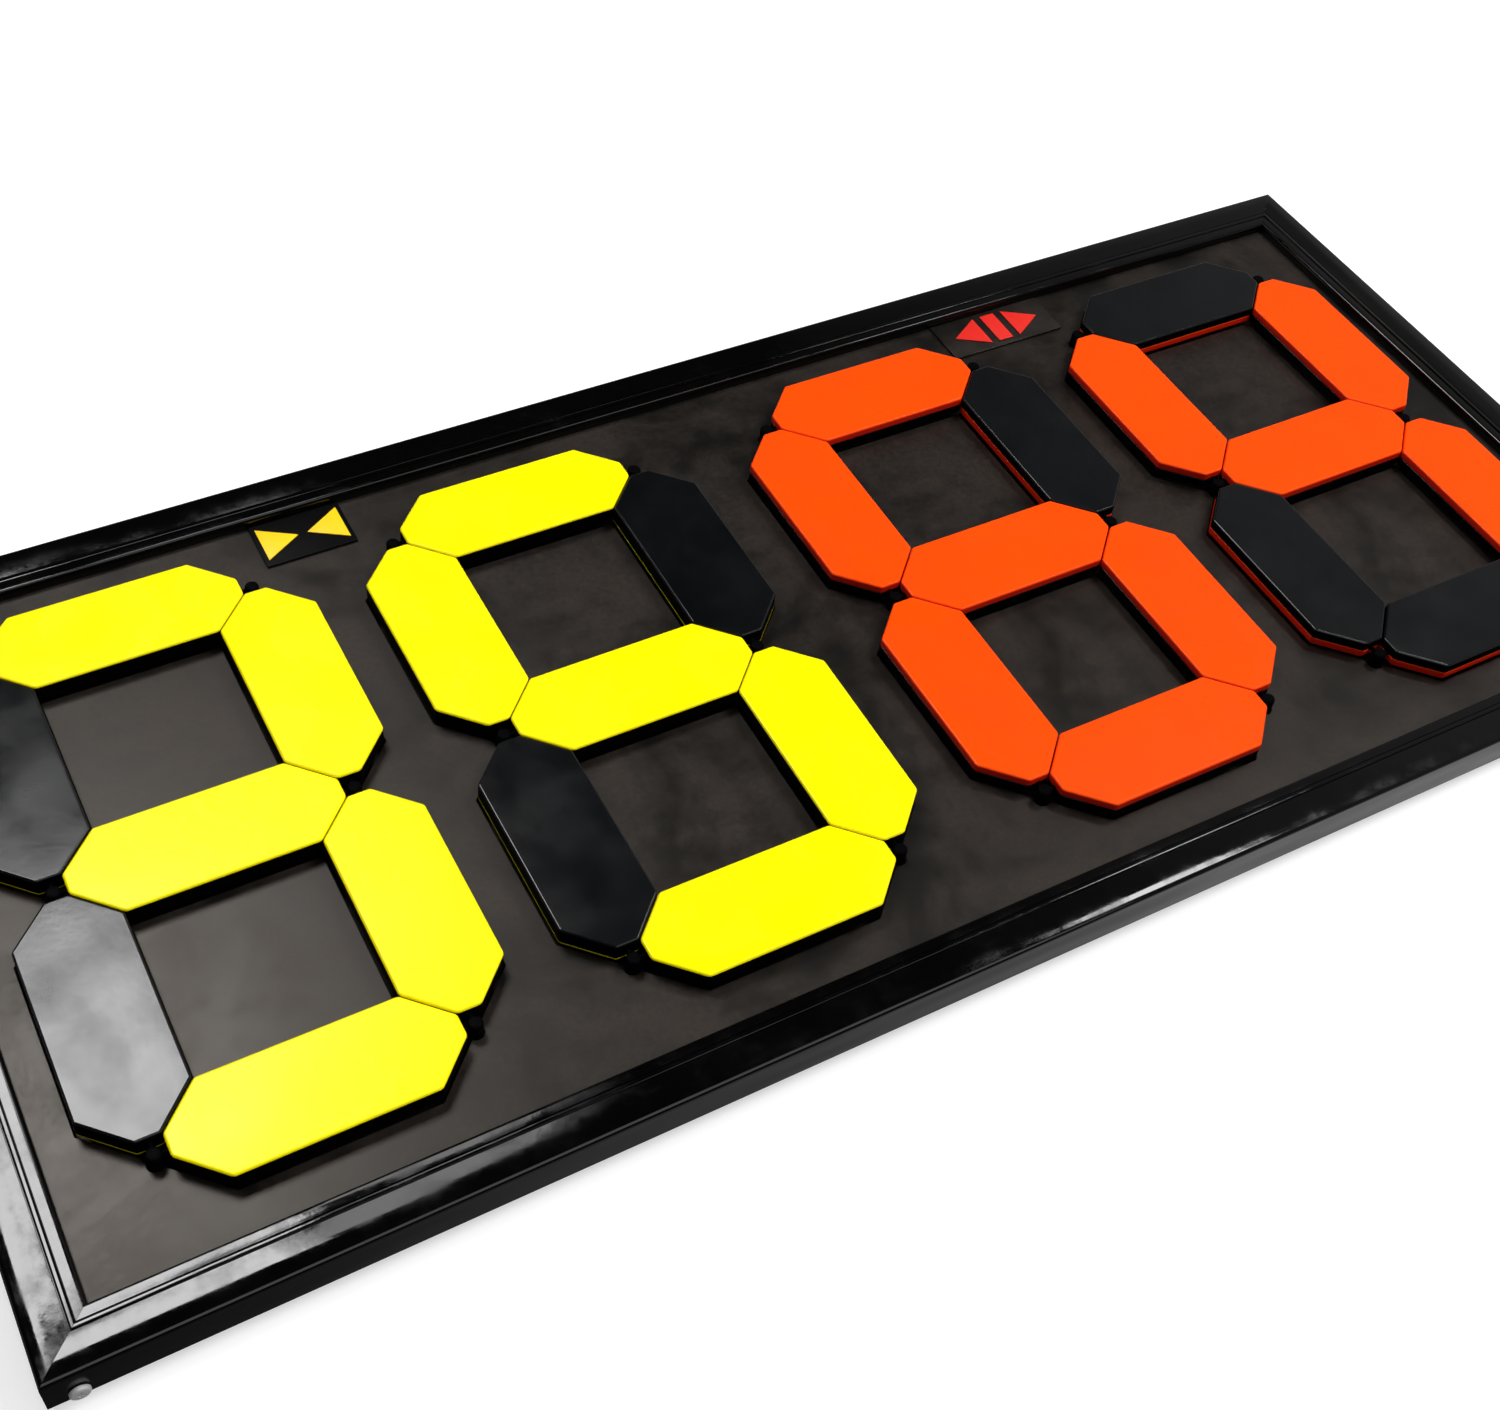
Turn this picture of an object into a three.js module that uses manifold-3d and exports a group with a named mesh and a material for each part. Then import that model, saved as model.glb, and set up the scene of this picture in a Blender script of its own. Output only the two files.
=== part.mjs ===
// Substitution board: four seven-segment digits made of turning flaps, in a framed panel.
// Millimetres. X runs along the board, Y towards the tops of the digits, Z out of the face.
// The board lies on its back cover, whose underside is at Z = 0.

import * as THREE from 'three';
import { mergeVertices } from 'three/addons/utils/BufferGeometryUtils.js';
import Module from 'manifold-3d';

const wasm = await Module();
wasm.setup();

// Clearances
const seatGap = 0.3; // between faces that rest on each other
const sweepGap = 1.2; // between the slanted ends of neighbouring flaps
const openingGap = 0.6; // round the outline of a digit's flaps, in the panel and in the well
const wellGap = 1; // between the edge of a turning flap and the floor under it
const cutOverrun = 2; // how far a cutting shape passes the face it cuts

// Flaps
const pivotSpacing = 113.5; // from one pivot of a flap to the other
const flapWidth = 40;
const flapThickness = 8.6;
const flapBevel = 1;
const flapTipWidth = 8; // across the cut-off tip
const flapLift = 0.6; // under a flap that lies over the panel
const pinRadius = 1;
const pinSeat = 1.5; // how far a pin reaches into its post
const pinSides = 8;

// Pivot posts
const postRadius = 3.25;
const postRound = 1.2; // round of the post's top edge
const postCap = 1.2; // above the bores
const boreEndGap = 0.4; // past the end of a pin
const postSides = 12;

// Layout of the digits
const digitGap = 21.5; // between the two digits of a pair
const pairGap = 27.5; // between the two pairs
const sideMargin = 13.25; // from the outer digits to the side rails
const endMargin = 18; // from the digits to the long rails

// Digit trays
const trayWall = 1.2;
const trayFlange = 5;

// Face panel
const panelThickness = 2;

// Frame rails, from the outer wall inwards
const railWidth = 21;
const railBelowPanel = 11.3; // outer wall under the panel's face
const railShoulder = 3.8; // outer wall over the panel's face
const railCrown = 5.7; // highest line of the rail over the panel's face
const railRound = 2.2; // width of the round at the outer edge
const roundSteps = 4;
const faceInnerHeight = 4.5; // inner edge of the broad face over the panel's face
const faceWidth = 13.4; // from the outer wall to the first groove
const faceSagShare = 0.3; // of the broad face's fall, at the middle of its width
const grooveWidth = 0.6;
const grooveDepth = 0.5;
const beadWidth = 1.6;
const innerBandWidth = 3.4;
const innerBandDrop = 0.25;
const lipHeight = 1.8; // inner edge of the lip over the panel's face
const railWall = 2;
const railWeb = 1.2; // shelf under the panel
const slotStart = 8; // from the outer wall to the edge of the panel slot
const webEnd = 17;
const footWidth = 12;
const mitreGap = 0.15; // each rail end's share of the gap at a corner

// Corner brackets
const bracketLeg = 45;
const bracketWidth = 8;
const cornerScrewInset = 10.5; // from the board's outer corner
const longSideCornerScrewShares = [-1, 1]; // ends of a long rail that are screwed to a bracket
const shortSideCornerScrewShares = [];

// Back cover
const coverThickness = 2;
const coverWallInset = 19; // from the board's outer wall
const coverFlangeInset = 5;
const coverFlangeThickness = 1.8;
const backScrewInset = 8.5;
const longSideScrewShares = [-0.8, 0, 0.8]; // of half the board's length
const shortSideScrewShares = [0]; // of half the board's width

// Screws
const screwHeadRadius = 3.5;
const screwHeadHeight = 1.9;
const headRimShare = 0.6; // flat top of the head, of its radius
const headShoulderShare = 0.45; // straight side of the head, of its height
const screwShankRadius = 1.25;
const screwSides = 10;
const cornerScrewLength = 7;
const coverScrewLength = 7;

// Label plates
const labelDepth = 25;
const inLabelWidth = 40;
const outLabelWidth = 62;
const labelThickness = 0.8;

// Sizes that follow from the ones above
const halfPivot = pivotSpacing / 2;
const flapHalfWidth = flapWidth / 2;
const flapHalfThickness = flapThickness / 2;
const flapTip = flapTipWidth / 2;
const mitreSetback = sweepGap / Math.SQRT2; // from a pivot to where a flap's sides would meet
const flapHalfLength = halfPivot - mitreSetback - flapTip;
const pinReach = halfPivot - postRadius + pinSeat;
const sweepRadius = Math.hypot(flapHalfWidth, flapHalfThickness - flapBevel);
const boreRadius = pinRadius + seatGap;
const boreDepth = pinSeat + boreEndGap;

const digitWidth = pivotSpacing + flapWidth;
const digitHeight = 2 * pivotSpacing + flapWidth;
const boardLength = 4 * digitWidth + 2 * digitGap + pairGap + 2 * (sideMargin + railWidth);
const boardWidth = digitHeight + 2 * (endMargin + railWidth);
const halfLength = boardLength / 2;
const halfWidth = boardWidth / 2;
const innerDigitX = (pairGap + digitWidth) / 2;
const outerDigitX = innerDigitX + digitWidth + digitGap;
const digitXs = [-outerDigitX, -innerDigitX, innerDigitX, outerDigitX];

const trayLow = coverThickness + seatGap;
const floorTop = trayLow + trayWall;
const axisHeight = floorTop + wellGap + sweepRadius;
const panelTop = axisHeight - flapHalfThickness - flapLift;
const panelLow = panelTop - panelThickness;
const flangeTop = panelLow - seatGap;
const postTop = axisHeight + boreRadius + postCap;
const railLow = panelTop - railBelowPanel;
const footTop = railLow + railWall;
const webTop = panelLow - seatGap;
const coverFlangeTop = railLow - seatGap;
const coverFlangeLow = coverFlangeTop - coverFlangeThickness;
const channelTop = webTop - railWeb;
const bracketMiddle = (footTop + channelTop) / 2;
const bracketHeight = channelTop - footTop - 2 * seatGap;

// Finishes
const finishes = {
  yellowPlastic: { color: 0xffee00, roughness: 0.4, metalness: 0 },
  orangePlastic: { color: 0xff4a08, roughness: 0.4, metalness: 0 },
  mattBlack: { color: 0x2b2a29, roughness: 0.6, metalness: 0 },
  glossBlack: { color: 0x0c0c0d, roughness: 0.12, metalness: 0 },
  coverBlack: { color: 0x1c1c1d, roughness: 0.55, metalness: 0 },
  labelBlack: { color: 0x08080a, roughness: 0.25, metalness: 0 },
  screwSteel: { color: 0xc4c6c8, roughness: 0.3, metalness: 1 },
  bracketZinc: { color: 0x9a9c9f, roughness: 0.45, metalness: 1 },
};

// Shapes

const alongX = new THREE.Vector3(1, 0, 0);
const alongY = new THREE.Vector3(0, 1, 0);
const up = new THREE.Vector3(0, 0, 1);

function solid(geometry) {
  const bare = geometry.index ? geometry.toNonIndexed() : geometry.clone();
  bare.deleteAttribute('normal');
  bare.deleteAttribute('uv');
  const merged = mergeVertices(bare);
  return new wasm.Manifold(new wasm.Mesh({
    numProp: 3,
    vertProperties: new Float32Array(merged.attributes.position.array),
    triVerts: new Uint32Array(merged.index.array),
  }));
}

function geometryOf(body) {
  const mesh = body.getMesh();
  const geometry = new THREE.BufferGeometry();
  geometry.setAttribute('position', new THREE.BufferAttribute(mesh.vertProperties, 3));
  geometry.setIndex(new THREE.BufferAttribute(mesh.triVerts, 1));
  return geometry;
}

// An outline in X and Y, raised from one height to another.
function prism(points, low, high) {
  const shape = new THREE.Shape(points.map(([x, y]) => new THREE.Vector2(x, y)));
  const geometry = new THREE.ExtrudeGeometry(shape, { depth: high - low, bevelEnabled: false });
  geometry.translate(0, 0, low);
  return solid(geometry);
}

function block([x0, y0, z0], [x1, y1, z1]) {
  return prism([[x0, y0], [x1, y0], [x1, y1], [x0, y1]], z0, z1);
}

// A profile of [radius, height] points turned about Z, then laid along a direction.
function turned(profile, sides, place, direction) {
  const geometry = new THREE.LatheGeometry(profile.map(([r, z]) => new THREE.Vector2(r, z)), sides);
  const turn = new THREE.Quaternion().setFromUnitVectors(alongY, direction);
  geometry.applyQuaternion(turn);
  geometry.translate(...place);
  return solid(geometry);
}

function rod(radius, low, high, sides, place, direction) {
  return turned([[0, low], [radius, low], [radius, high], [0, high]], sides, place, direction);
}

// Flaps

// Outline of a flap along X, drawn in by an inset all round.
function flapOutline(inset) {
  const tipX = flapHalfLength - inset;
  const tipY = flapTip - inset * (Math.SQRT2 - 1);
  const sideY = flapHalfWidth - inset;
  const sideX = tipX + tipY - sideY;
  const corner = [[tipX, tipY], [sideX, sideY], [-sideX, sideY], [-tipX, tipY]];
  return [...corner, ...corner.map(([x, y]) => [-x, -y])];
}

// One flap along X about its own axis: a bevelled blade with a pin at each tip.
function flapGeometry() {
  const rings = [
    { z: -flapHalfThickness, inset: flapBevel },
    { z: flapBevel - flapHalfThickness, inset: 0 },
    { z: flapHalfThickness - flapBevel, inset: 0 },
    { z: flapHalfThickness, inset: flapBevel },
  ];
  const outlines = rings.map(({ z, inset }) => flapOutline(inset).map(([x, y]) => [x, y, z]));
  const positions = [];
  outlines.slice(1).forEach((ring, level) => {
    const below = outlines[level];
    ring.forEach((point, i) => {
      const next = (i + 1) % ring.length;
      positions.push(...below[i], ...below[next], ...ring[next]);
      positions.push(...below[i], ...ring[next], ...point);
    });
  });
  const bottom = outlines[0];
  const top = outlines[outlines.length - 1];
  for (let i = 1; i < top.length - 1; i += 1) {
    positions.push(...top[0], ...top[i], ...top[i + 1]);
    positions.push(...bottom[0], ...bottom[i + 1], ...bottom[i]);
  }
  const blade = new THREE.BufferGeometry();
  blade.setAttribute('position', new THREE.BufferAttribute(new Float32Array(positions), 3));
  const pinStart = flapHalfLength - cutOverrun;
  let body = solid(blade);
  for (const side of [-1, 1]) {
    const outwards = new THREE.Vector3(side, 0, 0);
    body = body.add(rod(pinRadius, pinStart, pinReach, pinSides, [0, 0, 0], outwards));
  }
  return geometryOf(body);
}

// Middle of each flap from the middle of its digit, in pivot spacings, and whether it stands upright.
const segments = [
  { name: 'top', xShare: 0, yShare: 1, upright: false },
  { name: 'upper_right', xShare: 0.5, yShare: 0.5, upright: true },
  { name: 'lower_right', xShare: 0.5, yShare: -0.5, upright: true },
  { name: 'bottom', xShare: 0, yShare: -1, upright: false },
  { name: 'lower_left', xShare: -0.5, yShare: -0.5, upright: true },
  { name: 'upper_left', xShare: -0.5, yShare: 0.5, upright: true },
  { name: 'middle', xShare: 0, yShare: 0, upright: false },
];

// Digits

// Outline round a whole digit, a given distance outside its flaps.
function digitOutline(offset) {
  const sideX = halfPivot + flapHalfWidth + offset;
  const endY = pivotSpacing + flapHalfWidth + offset;
  const slant = offset * Math.SQRT2 - mitreSetback;
  const cornerSum = halfPivot + pivotSpacing + slant;
  const notchX = halfPivot + slant;
  const notchY = sideX - notchX;
  const right = [
    [cornerSum - endY, endY],
    [sideX, cornerSum - sideX],
    [sideX, notchY],
    [notchX, 0],
    [sideX, -notchY],
    [sideX, sideX - cornerSum],
    [cornerSum - endY, -endY],
  ];
  return [...right, ...right.map(([x, y]) => [-x, -y])];
}

// Pivots of a digit, with the directions in which flaps leave them.
function digitPivots() {
  const pivots = [];
  for (const sideX of [-1, 1]) {
    for (const row of [-1, 0, 1]) {
      const ways = [new THREE.Vector3(-sideX, 0, 0)];
      if (row < 1) ways.push(new THREE.Vector3(0, 1, 0));
      if (row > -1) ways.push(new THREE.Vector3(0, -1, 0));
      pivots.push({ x: sideX * halfPivot, y: row * pivotSpacing, ways });
    }
  }
  return pivots;
}

// The two square islands inside a digit, drawn in by an inset.
function counters(inset, low, high) {
  const half = halfPivot - flapHalfWidth - openingGap - inset;
  const at = (y) => block([-half, y - half, low], [half, y + half, high]);
  return at(halfPivot).add(at(-halfPivot));
}

function post(pivot) {
  const foot = floorTop - trayWall / 2;
  const profile = [
    [0, foot],
    [postRadius, foot],
    [postRadius, postTop - postRound],
    [postRadius - postRound, postTop],
    [0, postTop],
  ];
  return turned(profile, postSides, [pivot.x, pivot.y, 0], up);
}

// One digit's tray: the well that its flaps turn through, its counters and its six posts.
function trayGeometry() {
  const wallLine = digitOutline(openingGap + trayWall);
  const flangeLine = digitOutline(openingGap + trayWall + trayFlange);
  const well = prism(digitOutline(openingGap), floorTop, flangeTop + cutOverrun)
    .subtract(counters(0, trayLow, flangeTop + cutOverrun + cutOverrun));
  let tray = prism(wallLine, trayLow, flangeTop)
    .add(prism(flangeLine, flangeTop - trayWall, flangeTop))
    .subtract(well)
    .add(counters(0, floorTop - trayWall / 2, panelTop))
    .subtract(counters(trayWall, trayLow - cutOverrun, panelTop - trayWall));
  for (const pivot of digitPivots()) {
    tray = tray.add(post(pivot));
  }
  for (const pivot of digitPivots()) {
    for (const way of pivot.ways) {
      const place = [pivot.x, pivot.y, axisHeight];
      const boreStart = postRadius - boreDepth;
      tray = tray.subtract(rod(boreRadius, boreStart, postRadius + cutOverrun, pinSides, place, way));
    }
  }
  return geometryOf(tray);
}

// Face panel

function panelGeometry() {
  const x = halfLength - slotStart - seatGap;
  const y = halfWidth - slotStart - seatGap;
  let panel = block([-x, -y, panelLow], [x, y, panelTop]);
  const low = panelLow - cutOverrun;
  const high = panelTop + cutOverrun;
  let opening = prism(digitOutline(openingGap), low, high);
  for (const pivot of digitPivots()) {
    const holeRadius = postRadius + seatGap;
    opening = opening.add(rod(holeRadius, low, high, postSides, [pivot.x, pivot.y, 0], up));
  }
  for (const digitX of digitXs) {
    panel = panel.subtract(opening.translate([digitX, 0, 0]));
  }
  return geometryOf(panel);
}

// Frame rails

// Section of a rail: distance in from the outer wall, and height.
function railSection() {
  const shoulder = panelTop + railShoulder;
  const crown = panelTop + railCrown;
  const roundRise = railCrown - railShoulder;
  const faceInner = panelTop + faceInnerHeight;
  const grooveFloor = faceInner - grooveDepth;
  const beadStart = faceWidth + grooveWidth;
  const beadEnd = beadStart + beadWidth;
  const bandStart = beadEnd + grooveWidth;
  const bandEnd = bandStart + innerBandWidth;
  const lipTop = panelTop + lipHeight;
  const bandTop = faceInner - grooveDepth / 2;
  const slotTop = panelTop + seatGap;
  const points = [[0, railLow], [0, shoulder]];
  for (let i = 1; i <= roundSteps; i += 1) {
    const angle = (i / roundSteps) * Math.PI / 2;
    points.push([railRound * (1 - Math.cos(angle)), shoulder + roundRise * Math.sin(angle)]);
  }
  points.push(
    [(railRound + faceWidth) / 2, crown - (crown - faceInner) * faceSagShare],
    [faceWidth, faceInner],
    [faceWidth + grooveWidth / 2, grooveFloor],
    [beadStart, faceInner],
    [beadStart + beadWidth / 2, faceInner + grooveDepth],
    [beadEnd, faceInner],
    [beadEnd + grooveWidth / 2, grooveFloor],
    [bandStart, bandTop],
    [bandEnd, bandTop - innerBandDrop],
    [railWidth, lipTop],
    [railWidth, slotTop],
    [slotStart, slotTop],
    [slotStart, webTop],
    [webEnd, webTop],
    [webEnd, channelTop],
    [railWall, channelTop],
    [railWall, footTop],
    [footWidth, footTop],
    [footWidth, railLow],
  );
  return points;
}

// The four sides, seen as the near one turned about the board's middle.
const longSide = {
  length: boardLength,
  distance: halfWidth,
  screwShares: longSideScrewShares,
  endShares: longSideCornerScrewShares,
};
const shortSide = {
  length: boardWidth,
  distance: halfLength,
  screwShares: shortSideScrewShares,
  endShares: shortSideCornerScrewShares,
};
const sides = [
  { name: 'near', turn: 0, ...longSide },
  { name: 'right', turn: Math.PI / 2, ...shortSide },
  { name: 'far', turn: Math.PI, ...longSide },
  { name: 'left', turn: -Math.PI / 2, ...shortSide },
];

// Places of a near side's screws into the corner brackets and into the back cover.
function cornerScrewPlaces({ length, distance, endShares }) {
  return endShares.map((end) => [end * (length / 2 - cornerScrewInset), -distance, bracketMiddle]);
}

function coverScrewPlaces({ length, distance, screwShares }) {
  return screwShares.map((share) => [share * length / 2, backScrewInset - distance, coverFlangeLow]);
}

function screwHole(place, direction, depth) {
  return rod(screwShankRadius + seatGap, -cutOverrun, depth, screwSides, place, direction);
}

// A near side's rail, with mitred ends and screw holes.
function railGeometry(side) {
  const shape = new THREE.Shape(railSection().map(([u, z]) => new THREE.Vector2(u, z)));
  const geometry = new THREE.ExtrudeGeometry(shape, { depth: 1, bevelEnabled: false });
  const position = geometry.attributes.position;
  for (let i = 0; i < position.count; i += 1) {
    const inwards = position.getX(i);
    const height = position.getY(i);
    const end = 2 * position.getZ(i) - 1;
    position.setXYZ(i, end * (side.length / 2 - inwards - mitreGap), inwards - side.distance, height);
  }
  let rail = solid(geometry);
  for (const place of cornerScrewPlaces(side)) {
    rail = rail.subtract(screwHole(place, alongY, railWall + cutOverrun));
  }
  for (const place of coverScrewPlaces(side)) {
    rail = rail.subtract(screwHole(place, up, footTop - coverFlangeLow + cutOverrun / 2));
  }
  return geometryOf(rail);
}

// Corner brackets

// A bracket with its legs along X and Y, from the board's outer corner at the origin.
function bracketGeometry() {
  const start = railWall + seatGap;
  const inner = start + bracketWidth;
  const end = start + bracketLeg;
  const outline = [[start, start], [end, start], [end, inner], [inner, inner], [inner, end], [start, end]];
  const low = bracketMiddle - bracketHeight / 2;
  const high = bracketMiddle + bracketHeight / 2;
  const holeDepth = inner + cutOverrun;
  const bracket = prism(outline, low, high)
    .subtract(screwHole([cornerScrewInset, 0, bracketMiddle], alongY, holeDepth))
    .subtract(screwHole([0, cornerScrewInset, bracketMiddle], alongX, holeDepth));
  return geometryOf(bracket);
}

// Back cover

// A shallow tray with a flange that is screwed to the feet of the rails.
function coverGeometry() {
  const x = halfLength - coverWallInset;
  const y = halfWidth - coverWallInset;
  const flangeX = halfLength - coverFlangeInset;
  const flangeY = halfWidth - coverFlangeInset;
  const innerX = x - coverThickness;
  const innerY = y - coverThickness;
  let cover = block([-x, -y, 0], [x, y, coverFlangeTop])
    .add(block([-flangeX, -flangeY, coverFlangeLow], [flangeX, flangeY, coverFlangeTop]))
    .subtract(block([-innerX, -innerY, coverThickness], [innerX, innerY, coverFlangeTop + cutOverrun]));
  for (const side of sides) {
    const degrees = THREE.MathUtils.radToDeg(side.turn);
    for (const place of coverScrewPlaces(side)) {
      const hole = screwHole(place, up, coverFlangeThickness + cutOverrun);
      cover = cover.subtract(hole.rotate([0, 0, degrees]));
    }
  }
  return geometryOf(cover);
}

// Screws

// A pan-head screw that goes in along Y, its head just outside the face at zero.
function screwGeometry(length) {
  const underHead = -seatGap;
  const crown = underHead - screwHeadHeight;
  const shoulder = underHead - screwHeadHeight * headShoulderShare;
  const profile = [
    [0, crown],
    [screwHeadRadius * headRimShare, crown],
    [screwHeadRadius, shoulder],
    [screwHeadRadius, underHead],
    [screwShankRadius, underHead],
    [screwShankRadius, length],
    [0, length],
  ];
  return geometryOf(turned(profile, screwSides, [0, 0, 0], alongY));
}

// Label plates

function labelGeometry(width) {
  const x = width / 2;
  const y = labelDepth / 2;
  return geometryOf(block([-x, -y, 0], [x, y, labelThickness]));
}

// Assembly

const board = new THREE.Group();

function place(parent, name, geometry, finish, position, turn = 0, tilt = 0) {
  const mesh = new THREE.Mesh(geometry, new THREE.MeshStandardMaterial(finishes[finish]));
  mesh.name = name;
  mesh.position.set(...position);
  mesh.rotation.set(tilt, 0, turn);
  parent.add(mesh);
}

const flapShape = flapGeometry();
const trayShape = trayGeometry();
digitXs.forEach((digitX, i) => {
  const digit = new THREE.Group();
  const digitName = `digit_${i + 1}`;
  const colour = digitX < 0 ? 'yellowPlastic' : 'orangePlastic';
  digit.position.x = digitX;
  place(digit, `${digitName}_tray`, trayShape, 'mattBlack', [0, 0, 0]);
  for (const { name, xShare, yShare, upright } of segments) {
    const middle = [xShare * pivotSpacing, yShare * pivotSpacing, axisHeight];
    place(digit, `${digitName}_flap_${name}`, flapShape, colour, middle, upright ? Math.PI / 2 : 0);
  }
  board.add(digit);
});

place(board, 'face_panel', panelGeometry(), 'mattBlack', [0, 0, 0]);
place(board, 'back_cover', coverGeometry(), 'coverBlack', [0, 0, 0]);

const cornerScrew = screwGeometry(cornerScrewLength);
const coverScrew = screwGeometry(coverScrewLength);
for (const side of sides) {
  const group = new THREE.Group();
  group.rotation.z = side.turn;
  place(group, `${side.name}_rail`, railGeometry(side), 'glossBlack', [0, 0, 0]);
  cornerScrewPlaces(side).forEach((middle, i) => {
    place(group, `${side.name}_rail_screw_${i + 1}`, cornerScrew, 'screwSteel', middle);
  });
  coverScrewPlaces(side).forEach((middle, i) => {
    place(group, `${side.name}_cover_screw_${i + 1}`, coverScrew, 'screwSteel', middle, 0, Math.PI / 2);
  });
  board.add(group);
}

const bracketShape = bracketGeometry();
const corners = [
  { name: 'near_left', x: -halfLength, y: -halfWidth, turn: 0 },
  { name: 'near_right', x: halfLength, y: -halfWidth, turn: Math.PI / 2 },
  { name: 'far_right', x: halfLength, y: halfWidth, turn: Math.PI },
  { name: 'far_left', x: -halfLength, y: halfWidth, turn: -Math.PI / 2 },
];
for (const { name, x, y, turn } of corners) {
  place(board, `${name}_bracket`, bracketShape, 'bracketZinc', [x, y, 0], turn);
}

const labelX = (innerDigitX + outerDigitX) / 2;
const labelY = halfWidth - railWidth - seatGap - labelDepth / 2;
const labelZ = panelTop + seatGap;
place(board, 'in_label_plate', labelGeometry(inLabelWidth), 'labelBlack', [-labelX, labelY, labelZ]);
place(board, 'out_label_plate', labelGeometry(outLabelWidth), 'labelBlack', [labelX, labelY, labelZ]);

export default board;
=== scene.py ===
import math

import bmesh
import bpy
from mathutils import Matrix, Vector


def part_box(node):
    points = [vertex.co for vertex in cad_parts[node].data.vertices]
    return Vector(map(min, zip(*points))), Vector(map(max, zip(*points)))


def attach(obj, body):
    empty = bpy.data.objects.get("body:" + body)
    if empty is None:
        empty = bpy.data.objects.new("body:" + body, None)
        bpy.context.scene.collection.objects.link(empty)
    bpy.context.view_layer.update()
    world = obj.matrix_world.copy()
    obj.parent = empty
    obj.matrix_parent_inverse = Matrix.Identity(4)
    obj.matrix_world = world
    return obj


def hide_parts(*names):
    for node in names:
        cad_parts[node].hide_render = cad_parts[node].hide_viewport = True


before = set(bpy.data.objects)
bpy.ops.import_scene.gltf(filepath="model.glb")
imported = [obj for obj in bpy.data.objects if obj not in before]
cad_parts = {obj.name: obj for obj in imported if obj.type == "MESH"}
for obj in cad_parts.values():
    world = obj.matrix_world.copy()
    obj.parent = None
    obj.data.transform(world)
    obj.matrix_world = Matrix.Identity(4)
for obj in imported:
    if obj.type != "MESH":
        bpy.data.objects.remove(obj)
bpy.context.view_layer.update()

mm = 0.001  # sizes are in millimetres unless a comment says metres, and Blender works in metres
softAngle = 40  # degrees, over which an edge between two faces is drawn sharp
cutOverrun = 2  # how far a cutting shape passes the face that it cuts


def boxOf(node):
    low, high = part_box(node)
    return low / mm, high / mm, (low + high) / (2 * mm)


def hexColour(code):
    channels = [int(code[i:i + 2], 16) / 255 for i in (1, 3, 5)]
    linear = [c / 12.92 if c <= 0.04045 else ((c + 0.055) / 1.055) ** 2.4 for c in channels]
    return (*linear, 1.0)


def addNode(tree, kind, settings=None, inputs=None):
    node = tree.nodes.new(kind)
    for key, value in (settings or {}).items():
        setattr(node, key, value)
    for key, value in (inputs or {}).items():
        if isinstance(value, bpy.types.NodeSocket):
            tree.links.new(value, node.inputs[key])
        else:
            node.inputs[key].default_value = value
    return node


def meshFromBm(bm, name):
    bmesh.ops.recalc_face_normals(bm, faces=bm.faces)
    mesh = bpy.data.meshes.new(name)
    bm.to_mesh(mesh)
    bm.free()
    return mesh


def addObject(name, mesh):
    piece = bpy.data.objects.new(name, mesh)
    bpy.context.scene.collection.objects.link(piece)
    return piece


def applyModifiers(piece):
    graph = bpy.context.evaluated_depsgraph_get()
    graph.update()
    mesh = bpy.data.meshes.new_from_object(piece.evaluated_get(graph))
    piece.modifiers.clear()
    piece.data = mesh


def roundEdges(piece, width, segments=2, angle=35):
    bevel = piece.modifiers.new("round", "BEVEL")
    bevel.width = width * mm
    bevel.segments = segments
    bevel.limit_method = "ANGLE"
    bevel.angle_limit = math.radians(angle)
    bevel.use_clamp_overlap = True


def smoothShade(mesh, angle=softAngle):
    mesh.polygons.foreach_set("use_smooth", [True] * len(mesh.polygons))
    mesh.set_sharp_from_angle(angle=math.radians(angle))


def evenNormals(piece):
    weighted = piece.modifiers.new("even normals", "WEIGHTED_NORMAL")
    weighted.keep_sharp = True
    weighted.weight = 90


def seat(piece, body, nodes, material):
    piece.data.materials.clear()
    piece.data.materials.append(material)
    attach(piece, body)
    if nodes:
        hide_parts(*nodes)


def rectangle(lowX, lowY, highX, highY):
    return [(lowX, lowY), (highX, lowY), (highX, highY), (lowX, highY)]


def prismMesh(outline, low, high):
    bm = bmesh.new()
    bottom = [bm.verts.new((x * mm, y * mm, low * mm)) for x, y in outline]
    top = [bm.verts.new((x * mm, y * mm, high * mm)) for x, y in outline]
    bm.faces.new(top)
    bm.faces.new(bottom[::-1])
    for i in range(len(outline)):
        j = (i + 1) % len(outline)
        bm.faces.new((bottom[i], bottom[j], top[j], top[i]))
    return meshFromBm(bm, "prism")


def turnedMesh(profile, sides):
    bm = bmesh.new()
    rings = []
    for radius, height in profile:
        if radius == 0:
            rings.append([bm.verts.new((0, 0, height * mm))])
            continue
        ring = []
        for i in range(sides):
            angle = 2 * math.pi * i / sides
            place = (radius * mm * math.cos(angle), radius * mm * math.sin(angle), height * mm)
            ring.append(bm.verts.new(place))
        rings.append(ring)
    for lower, upper in zip(rings, rings[1:]):
        for i in range(sides):
            j = (i + 1) % sides
            corners = [lower[i % len(lower)], lower[j % len(lower)],
                       upper[j % len(upper)], upper[i % len(upper)]]
            bm.faces.new(list(dict.fromkeys(corners)))  # a ring of one point makes triangles
    return meshFromBm(bm, "turned")


def spread(count):
    return [step / count for step in range(1, count + 1)]


def combine(base, cutter, operation):
    boolean = base.modifiers.new("combine", "BOOLEAN")
    boolean.operation = operation
    boolean.solver = "EXACT"
    boolean.object = cutter
    applyModifiers(base)
    bpy.data.objects.remove(cutter)


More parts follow.
